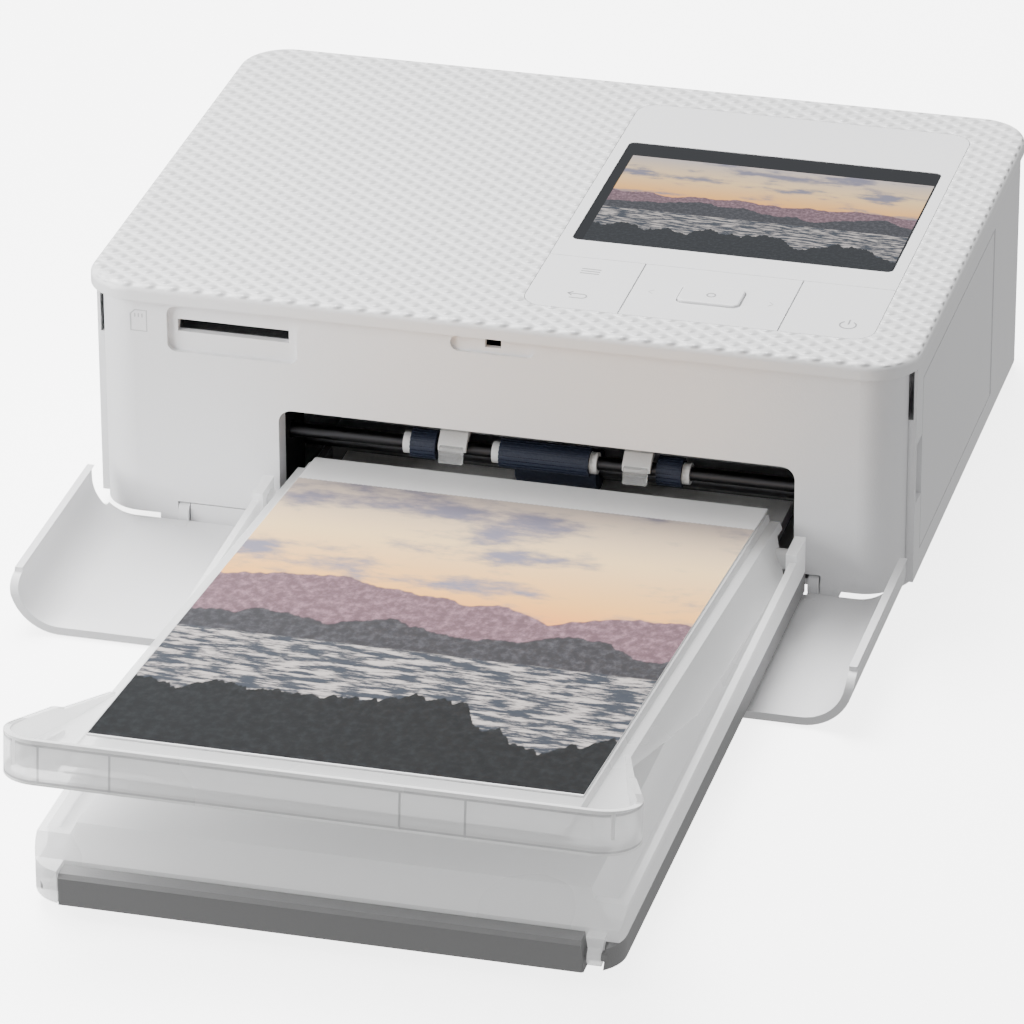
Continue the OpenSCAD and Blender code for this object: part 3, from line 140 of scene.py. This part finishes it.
class Finish:
    """One material: a Principled shader and the fields that feed it."""

    def __init__(self, name, **constants):
        self.material = bpy.data.materials.new(name)
        self.material.use_nodes = True
        self.tree = self.material.node_tree
        self.shader = self.tree.nodes["Principled BSDF"]
        self.place = self.node("ShaderNodeTexCoord", out="Object")
        self.feed(**constants)

    def node(self, kind, settings=None, sockets=None, out=0):
        made = self.tree.nodes.new(kind)
        for key, value in (settings or {}).items():
            if key != "stops":
                setattr(made, key, value)
                continue
            steps = made.color_ramp.elements
            while len(steps) < len(value):
                steps.new(1.0)
            for step, (at, colour) in zip(steps, value):
                step.position = at
                step.color = (*colour, 1.0)
        for key, value in (sockets or {}).items():
            if isinstance(value, Field):
                self.tree.links.new(value.socket, made.inputs[key])
            elif value is not None:
                made.inputs[key].default_value = value
        return Field(self, made.outputs[out])

    def feed(self, **values):
        """Sets the shader's sockets: base_color=..., roughness=..., normal=... ."""
        names = {socket.name.lower().replace(" ", "_"): socket for socket in self.shader.inputs}
        for key, value in values.items():
            socket = names[key]
            if isinstance(value, Field):
                self.tree.links.new(value.socket, socket)
            else:
                socket.default_value = (*value, 1.0) if key.endswith("color") else value

    def axes(self):
        split = self.node("ShaderNodeSeparateXYZ", None, {0: self.place}).socket.node
        return [Field(self, split.outputs[i]) for i in range(3)]

    def noise(self, scale, detail=2.0, at=None, roughness=0.5):
        """Cloudy values from 0 to 1, with about scale blobs to the metre."""
        return self.node("ShaderNodeTexNoise", None, {
            "Vector": at or self.place, "Scale": scale, "Detail": detail, "Roughness": roughness})

    def mix(self, share, first, second):
        """First colour where share is 0, second where it is 1."""
        return self.node("ShaderNodeMix", {"data_type": "RGBA"}, {
            0: share, 6: first if isinstance(first, Field) else (*first, 1.0),
            7: second if isinstance(second, Field) else (*second, 1.0)}, out=2)

    def bump(self, height, depth):
        """The surface's normal once height, from 0 to 1, stands depth metres proud."""
        return self.node("ShaderNodeBump", None, {
            "Height": height, "Distance": depth, "Strength": 1.0})


def wear(node_names, finish):
    """Gives a finish to every material slot of these CAD solids."""
    for name in node_names.split():
        solid = solids[name]
        if not solid.material_slots:
            solid.data.materials.append(finish.material)
        for slot in solid.material_slots:
            slot.material = finish.material
    print(finish.material.name, "->", node_names)


# %% [markdown]
# ## Moulded white plastic
# The shell is white ABS with a very fine spark-eroded grain. At arm's length the grain only
# softens the highlights, so it is a tiny bump with a slight change of roughness. A cloudy change
# of colour, too weak to name, keeps the walls from looking like paper.

# %% White shell, keys and base
def moulded(name, colour, rough, grain=2600.0, depth=0.00004, **constants):
    finish = Finish(name, **constants)
    cloud = finish.noise(9.0, 3.0)
    speck = finish.noise(grain, 1.0)
    darker = tuple(c * 0.955 for c in colour)
    finish.feed(base_color=finish.mix(cloud.smooth(0.3, 0.7), colour, darker),
                roughness=rough + (speck - 0.5) * 0.08 + (cloud - 0.5) * 0.05,
                normal=finish.bump(speck, depth))
    return finish


shell = moulded("white_shell", (0.80, 0.80, 0.81), 0.46)
wear("wrap_casing front_moulding front_flap ink_door", shell)
wear("base_casing", moulded("white_base", (0.72, 0.72, 0.73), 0.55))
keys = moulded("satin_key_white", (0.80, 0.80, 0.81), 0.34, 4200.0, 0.00001)
wear("control_fascia menu_key rocker_plate ok_key power_key", keys)

# %% [markdown]
# ## The quilted top
# The top cover is covered by small pillows in staggered rows, 5.2 mm apart across and 4.2 mm
# deep. Two sets of slanting waves that cross give just that: their product is high only where
# both are, which leaves a net of shallow grooves between the pillows. The relief is far
# shallower than a pixel is wide, so a bump is enough and the mesh stays light.

# %% Top cover relief
top = moulded("quilted_top", (0.82, 0.82, 0.825), 0.32)
x, y, z = top.axes()
across, deep, proud = 0.00520, 0.00420, 0.00072
wave_a = ((x / across + y / deep) * math.tau).cos()
wave_b = ((x / across - y / deep) * math.tau).cos()
pillow = (wave_a + 1.0) * (wave_b + 1.0) * 0.25
flat_top = z.smooth(0.0569, 0.0575)
top.feed(normal=top.bump(pillow * flat_top, proud))
wear("top_cover", top)

# %% [markdown]
# ## A picture made of noise
# The display and the print need a picture, and any real photograph would be somebody's work. So
# one is made up: misty ridges at dusk. Each ridge is a mask, "is this point below the skyline?",
# where the skyline is a slow noise along the picture. Farther ridges are paler. A lake lies in
# front of the second ridge, with ripples from a noise that is drawn out sideways, and the third
# ridge is the dark shore on this side of it.

# %% The picture's layers
# Each ridge: height of its skyline, its swing, its pace along the picture, its colour.
RIDGES = ((0.60, 0.15, 2.2, (0.12, 0.07, 0.085)), (0.50, 0.16, 3.1, (0.026, 0.026, 0.030)),
          (0.20, 0.24, 4.6, (0.005, 0.006, 0.007)))
LAKE_TOP = 0.40
print(len(RIDGES), "ridges and a lake")


# %% Misty ridges
def ridges(finish, u, v, seed):
    """Colour of the made-up picture at u across and v up, both from 0 to 1."""
    def join(a, b):
        return finish.node("ShaderNodeCombineXYZ", None, {0: a, 1: b, 2: seed})
    cloud = finish.noise(1.0, 6.0, join(u * 3.0, v * 8.0), 0.6)
    sky = v.ramp((0.50, (0.90, 0.26, 0.06)), (0.62, (0.92, 0.46, 0.13)), (0.80, (0.86, 0.60, 0.30)),
                 (1.0, (0.50, 0.44, 0.42)))
    picture = finish.mix(cloud.smooth(0.48, 0.64), sky, (0.20, 0.19, 0.25))
    grit = finish.noise(1.0, 5.0, join(u * 55.0, v * 55.0), 0.7)
    for level, (base, swing, pace, colour) in enumerate(RIDGES):
        slow = finish.noise(1.0, 5.0, join(u * pace + 7.3 * level, 0.37 * level), 0.55)
        skyline = slow * (2.0 * swing) + (base - swing)
        below = (skyline - v).smooth(-0.003, 0.003)
        tone = finish.mix(grit.smooth(0.40, 0.75), colour, tuple(c * 2.6 + 0.004 for c in colour))
        picture = finish.mix(below, picture, tone)
        if level == 1:
            ripple = finish.noise(1.0, 6.0, join(u * 12.0, v * 70.0), 0.68)
            lake = finish.mix(ripple.smooth(0.46, 0.60), (0.035, 0.042, 0.055), (0.46, 0.42, 0.40))
            picture = finish.mix((LAKE_TOP - v).smooth(-0.004, 0.004), picture, lake)
    return picture


# %% Display glass with its lit picture
screen = Finish("display_glass", base_color=(0.012, 0.013, 0.015), emission_strength=1.5,
                specular_ior_level=0.12)
x, y, z = screen.axes()
left, right, near, far, glass_face = 0.0085, 0.0766, -0.0198, 0.0266, 0.0573
picture_length = 1.45
u = (x - left) / (right - left)
v = (y - near) / (far - near)
lit = (u > 0.0) * (u < 1.0) * (v > 0.0) * (v < 1.0) * (z > glass_face)
picture = ridges(screen, u * picture_length, v, 4.0)
screen.feed(emission_color=screen.mix(lit, (0.0, 0.0, 0.0), picture),
            roughness=0.06 + screen.noise(40.0) * 0.03)
wear("display_glass", screen)

# %% The print and its tear-off strip
paper = Finish("print_paper", specular_ior_level=0.10)
x, y, z = paper.axes()
print_low, print_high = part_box("print_sheet")
sheet_w = print_high[0] - print_low[0]
sheet_l = print_high[1] - print_low[1]
u = (x - print_low[0]) / sheet_w
printed_part = 148.0 / 161.0
v = (y - print_low[1]) / (sheet_l * printed_part)
inked = (u > 0.0) * (u < 1.0) * (v > 0.004) * (v < 1.0)
face_up = paper.node("ShaderNodeNewGeometry", out="Normal")
up = paper.node("ShaderNodeSeparateXYZ", None, {0: face_up}, out=2)
fibre = paper.noise(700.0, 3.0)
white_stock = paper.mix(fibre, (0.83, 0.83, 0.83), (0.88, 0.88, 0.88))
holes_per_metre = 900.0
perforation = ((v - 1.0).magnitude() < 0.0016) * ((x * holes_per_metre).fraction() > 0.45)
unprinted = paper.mix(perforation, white_stock, (0.6, 0.6, 0.6))
paper.feed(base_color=paper.mix(inked * (up > 0.5), unprinted, ridges(paper, u, v * 0.98, 9.0)),
           roughness=0.32 + fibre * 0.05)
wear("print_sheet", paper)
print("print", round(sheet_w * 1000, 1), "x", round(sheet_l * 1000, 1), "mm")

# %% [markdown]
# ## Frosted clear covers
# The two cassette covers are clear plastic with a fine matte texture: the matte skin scatters
# most of the light, and what lies under them shows as a faint shape. Each wall has two skins, an
# outer and an inner one. With an alpha of about two thirds each skin lets a third of the light
# past, and the whole wall a tenth. A little rough transmission softens what is seen through it.
# Painted highlight lines and painted shade lines stand for the light that clear plastic leads along
# and lets out at its edges, and for the shade beside it. A faint painted glow lightens the lid,
# which lies in the outer cover's shade. The outer cover is tilted, so its lines are worked out
# along its own axes.

# %% Frosted covers
def frosted(name, colour, rough, share, cover):
    finish = Finish(name, ior=1.46, transmission_weight=share, alpha=cover)
    cloud = finish.noise(14.0, 3.0)
    speck = finish.noise(3000.0, 1.0)
    darker = tuple(c * 0.97 for c in colour)
    finish.feed(base_color=finish.mix(cloud.smooth(0.3, 0.7), colour, darker),
                roughness=rough + (cloud - 0.5) * 0.08, normal=finish.bump(speck, 0.00002))
    return finish


def band(value, low, high):
    """1 where the value lies between low and high, 0 elsewhere."""
    return (value > low) * (value < high)


def paint_edge_highlights_and_shade(finish, colour, cover, painted_highlight, dark):
    """Painted highlight and painted shade lines, as where clear plastic gathers light at its edges."""
    # Painted shade lines take half the colour; painted highlight lines are near white, and both are less
    # see-through.
    lines = finish.mix(dark, colour, tuple(c * 0.5 for c in colour))
    filled = (painted_highlight + dark * 0.6).at_most(1.0)
    finish.feed(base_color=finish.mix(painted_highlight, lines, (0.98, 0.98, 0.98)),
                alpha=filled * (0.97 - cover) + cover)


# %% Outer cover: its painted highlight and shade lines run along its own tilted axes
milky, milky_cover = (0.88, 0.882, 0.885), 0.60
catcher = frosted("frosted_catcher", milky, 0.26, 0.12, milky_cover)
x, y, z = catcher.axes()
tilt, pin_y, pin_z = math.radians(6.0), -0.0709, 0.0126
along = (y - pin_y) * math.cos(tilt) - (z - pin_z) * math.sin(tilt)
height = (y - pin_y) * math.sin(tilt) + (z - pin_z) * math.cos(tilt)
far_end, rim_top, rim_low = -0.1672, 0.0113, 0.0019
far_wall = along < far_end + 0.016
far_face = along < far_end + 0.0010
upper_line, lower_line, shade = 0.0007, 0.0005, 0.0006
# Painted highlight: pale bands along the top and bottom rims of the far wall and on its inner skin.
rim_highlight_bands = (height > rim_top - upper_line) + band(height, rim_low - 0.0001, rim_low + lower_line)
inner_skin_highlight = band(along, far_end + 0.0009, far_end + 0.0013) * (height > rim_top - 0.0060)
painted_highlight = far_wall * rim_highlight_bands + inner_skin_highlight
# Painted shade: dark bands beside the rims, and dark lines at the steps of the far face.
dark = far_wall * (band(height, rim_top - upper_line - shade, rim_top - 0.0008)
                   + band(height, rim_low + shade, rim_low + 0.0010))
step_shade_lines, step_width = (-0.0455, -0.0310, 0.0270, 0.0400), 0.0005
for step_x in step_shade_lines:
    dark = dark + far_face * band(x, step_x, step_x + step_width) * (height < rim_top - 0.0013)
paint_edge_highlights_and_shade(catcher, milky, milky_cover, painted_highlight.at_most(1.0), dark.at_most(1.0))
wear("outer_cover", catcher)

# %% Lid, with a painted glow and painted edge lines
lid_white, lid_cover, painted_glow = (0.97, 0.972, 0.975), 0.66, 0.16
lid = frosted("frosted_lid", lid_white, 0.28, 0.08, lid_cover)
# Painted light: a faint even emission lightens the lid, which lies in the outer cover's shade.
lid.feed(emission_color=(1.0, 1.0, 1.0), emission_strength=painted_glow)
x, y, z = lid.axes()
far_face = y < -0.2305
# Painted highlight and painted shade lines on the lid's far face.
painted_highlight = far_face * band(z, 0.0148, 0.0154)
dark = far_face * (band(z, 0.0141, 0.0146) + band(x, -0.0125, -0.0121))
paint_edge_highlights_and_shade(lid, lid_white, lid_cover, painted_highlight, dark.at_most(1.0))
wear("inner_cover", lid)

# %% Clear finger tips and the grey base
wear("finger_tips", frosted("clear_tip", (0.92, 0.93, 0.93), 0.12, 0.8, 0.8))
wear("cassette_base", moulded("cassette_grey", (0.23, 0.23, 0.232), 0.46))

# %% [markdown]
# ## What shows inside the opening
# Behind the opening the mouldings are black so that stray light can't reach the print head. The
# exit rollers are ribbed rubber, so dark blue that it reads as black until light catches a rib.

# %% Inner finishes
soot = moulded("soot_black", (0.005, 0.005, 0.0055), 0.55, specular_ior_level=0.25)
wear("throat_guide dc_jack ribbon_case", soot)
# Nodes, name of the finish, colour, roughness, then grain and depth where they aren't the usual.
MOULDED = (
    ("feed_rollers pickup_roller", "navy_rubber", (0.010, 0.016, 0.036), 0.62, 1500.0, 0.00008),
    ("platen_roller rubber_feet", "dark_rubber", (0.03, 0.03, 0.032), 0.7, 1500.0, 0.00008),
    ("paper_fingers roller_collars", "guide_white", (0.75, 0.75, 0.74), 0.4),
    ("feed_gear idler_gear platen_gear take_up_gear", "gear_nylon", (0.72, 0.71, 0.66), 0.42),
    ("main_board button_board reader_board", "board_green", (0.03, 0.14, 0.07), 0.4, 900.0, 0.00003),
    ("thermal_head", "head_ceramic", (0.66, 0.63, 0.55), 0.3),
    ("take_up_spool supply_spool", "ribbon_film", (0.12, 0.05, 0.10), 0.22),
    ("postcard_stack", "blank_sheets", (0.86, 0.86, 0.85), 0.6, 500.0, 0.00003),
)
for nodes, *recipe in MOULDED:
    wear(nodes, moulded(*recipe))
wear("lcd_module drive_motor", moulded("dark_grey_metal", (0.12, 0.125, 0.13), 0.38, metallic=0.7))


# %% Brushed and ground metal
def metal(name, colour, rough, along):
    """Sheet metal or shafting, with scratches drawn out along one axis."""
    finish = Finish(name, metallic=1.0)
    drawn = tuple(60.0 if axis == along else 2400.0 for axis in "xyz")
    streak = finish.noise(1.0, 3.0, finish.place * drawn)
    finish.feed(base_color=finish.mix(streak, colour, tuple(c * 0.8 for c in colour)),
                roughness=rough + (streak - 0.5) * 0.2, normal=finish.bump(streak, 0.00001))
    return finish


# Nodes, name of the finish, colour, roughness, direction of the scratches.
METALS = (
    ("chassis_frame motor_bracket head_arms card_socket", "plated_sheet", (0.62, 0.63, 0.64), 0.34, "y"),
    ("feed_shaft pickup_shaft", "blackened_shaft", (0.07, 0.07, 0.075), 0.32, "x"),
    ("usb_port case_screws", "ground_steel", (0.72, 0.72, 0.73), 0.22, "x"),
    ("heat_sink", "extruded_aluminium", (0.78, 0.79, 0.80), 0.3, "x"),
    ("motor_pinion", "cut_brass", (0.78, 0.58, 0.28), 0.3, "x"),
)
for nodes, *recipe in METALS:
    wear(nodes, metal(*recipe))

# %% [markdown]
# ## Printed marks
# The key symbols are pad-printed in pale grey ink. Each mark is a set of flat strokes, a few
# hundredths of a millimetre thick, that rides on its own key so that it goes down with it. One
# more, the outline of a memory card, stands on the front wall beside the card slot.

# %% Strokes
ink = moulded("grey_ink", (0.26, 0.26, 0.27), 0.5)
faint_ink = moulded("pale_ink", (0.50, 0.50, 0.51), 0.5)
mm = 0.001


def lying(z):
    """Places a mark's points on a level face at height z."""
    return lambda px, py, lift: Vector((px, py, z + lift)) * mm


def standing(y):
    """Places a mark's points on a wall that faces the front."""
    return lambda px, pz, lift: Vector((px, y - lift, pz)) * mm


def stroke_mark(name, body, put, lines, width, finish):
    """Adds a piece of flat strokes along lists of points in millimetres, put on a face."""
    mesh = bmesh.new()
    thick = 0.03
    for line in lines:
        closed = line[0] == line[-1]
        points = [Vector((px, py, 0)) for px, py in line]
        sides = []
        for i, point in enumerate(points):
            before = points[i - 1] if i else (points[-2] if closed else points[0])
            after = points[i + 1] if i + 1 < len(points) else (points[1] if closed else points[-1])
            along = (after - before).normalized()
            out = Vector((-along.y, along.x, 0)) * width / 2
            sides.append((point + out, point - out))
        lower = [[mesh.verts.new(put(p.x, p.y, 0.0)) for p in pair] for pair in sides]
        upper = [[mesh.verts.new(put(p.x, p.y, thick)) for p in pair] for pair in sides]
        for i in range(len(sides) - 1):
            (a, b), (c, d) = upper[i], upper[i + 1]
            (e, f), (g, h) = lower[i], lower[i + 1]
            for corners in ((a, b, d, c), (g, h, f, e), (a, c, g, e), (b, f, h, d)):
                mesh.faces.new(corners)
        if not closed:
            for k in (0, -1):
                mesh.faces.new((upper[k][0], upper[k][1], lower[k][1], lower[k][0]))
    bmesh.ops.recalc_face_normals(mesh, faces=mesh.faces)
    data = bpy.data.meshes.new(name)
    mesh.to_mesh(data)
    mesh.free()
    piece = bpy.data.objects.new(name, data)
    bpy.context.scene.collection.objects.link(piece)
    data.materials.append(finish.material)
    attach(piece, body)


def arc(cx, cy, r, a0, a1, steps=20):
    turns = [math.radians(a0 + (a1 - a0) * k / steps) for k in range(steps + 1)]
    return [(cx + r * math.cos(t), cy + r * math.sin(t)) for t in turns]


# %% Marks on the keys
clear = 0.005
key_face = lying(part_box("menu_key")[1][2] / mm + clear)
power = [arc(73.4, -47.9, 1.75, 125, 415), [(73.4, -47.6), (73.4, -45.3)]]
stroke_mark("power_mark", "right_key", key_face, power, 0.32, ink)
bend = [(15.5, -48.9)] + arc(15.5, -47.9, 1.0, -90, 90, 12)[1:] + [(12.2, -46.9)]
back = [[(15.5, -48.9), (12.9, -48.9)], bend, [(13.2, -46.0), (12.2, -46.9), (13.2, -47.8)]]
stroke_mark("back_mark", "left_key", key_face, back, 0.3, ink)
rows = [[(12.2, -34.2 - 1.1 * k), (16.4, -34.2 - 1.1 * k)] for k in range(3)]
stroke_mark("list_mark", "left_key", key_face, rows, 0.32, ink)
for name, side, cx in (("arrow_mark_left", -1, 29.2), ("arrow_mark_right", 1, 55.4)):
    tip = [(cx - side * 0.5, -41.0), (cx + side * 0.5, -42.0), (cx - side * 0.5, -43.0)]
    stroke_mark(name, "rocker", key_face, [tip], 0.2, faint_ink)
ok_face = lying(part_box("ok_key")[1][2] / mm + clear)
stroke_mark("enter_mark", "middle_key", ok_face, [arc(42.3, -41.6, 0.9, 0, 360)], 0.3, ink)
print("six marks on the keys")

# %% Card outline on the front wall
front_face = standing(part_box("front_moulding")[0][1] / mm - clear)
card = [(-80.2, 46.0), (-76.6, 46.0), (-76.6, 50.9), (-79.2, 50.9), (-80.2, 49.9), (-80.2, 46.0)]
contacts = [[(-79.2 + 0.8 * k, 49.2), (-79.2 + 0.8 * k, 50.1)] for k in range(3)]
stroke_mark("card_mark", "printer", front_face, [card] + contacts, 0.28, faint_ink)
print("card outline at", card[0])

# %% [markdown]
# ## The studio
# The photograph is a product shot on white: a big soft light from above, a smaller one at the
# left that fades along the front, a weak low one that reaches under the covers, one at the right
# for the side wall, and a pale surrounding. The camera doesn't see the lights themselves. The
# floor glows a little, like a light table, so that it stays pale under the soft shadows. It sends
# no light back to the printer, or its walls would lose their shading.

# %% Floor, lights and world
def soft_light(name, size, power_w, place, target):
    data = bpy.data.lights.new(name, "AREA")
    data.shape = "SQUARE"
    data.size = size
    data.energy = power_w
    lamp = bpy.data.objects.new(name, data)
    lamp.location = place
    lamp.rotation_euler = (Vector(target) - Vector(place)).to_track_quat("-Z", "Y").to_euler()
    lamp.visible_camera = False
    bpy.context.scene.collection.objects.link(lamp)


floor_data = bpy.data.meshes.new("floor")
floor_mesh = bmesh.new()
bmesh.ops.create_grid(floor_mesh, x_segments=1, y_segments=1, size=6.0)
floor_mesh.to_mesh(floor_data)
floor_mesh.free()
floor = bpy.data.objects.new("floor", floor_data)
bpy.context.scene.collection.objects.link(floor)
floor.location.z = -0.0002
white = (1.0, 1.0, 1.0)
pale = Finish("pale_floor", roughness=0.9, emission_color=white, emission_strength=4.0)
pale.feed(base_color=pale.mix(pale.noise(3.0), (0.93, 0.93, 0.93), (0.95, 0.95, 0.95)))
floor_data.materials.append(pale.material)
floor.visible_diffuse = False
floor.visible_glossy = False
soft_light("key_light", 1.1, 77.0, (-0.55, 0.6, 1.5), (0, 0, 0))
soft_light("side_light", 0.2, 1.9, (-0.30, -0.22, 0.14), (-0.05, -0.06, 0.03))
soft_light("low_light", 0.6, 0.9, (-0.1, -1.1, 0.20), (0, -0.2, 0.02))
soft_light("right_light", 0.6, 2.4, (1.1, 0.40, 0.30), (0.09, 0, 0.03))
world = bpy.data.worlds.new("studio")
bpy.context.scene.world = world
world.use_nodes = True
sky = world.node_tree.nodes["Background"]
sky.inputs["Color"].default_value = (1.0, 1.0, 1.0, 1.0)
sky.inputs["Strength"].default_value = 0.52
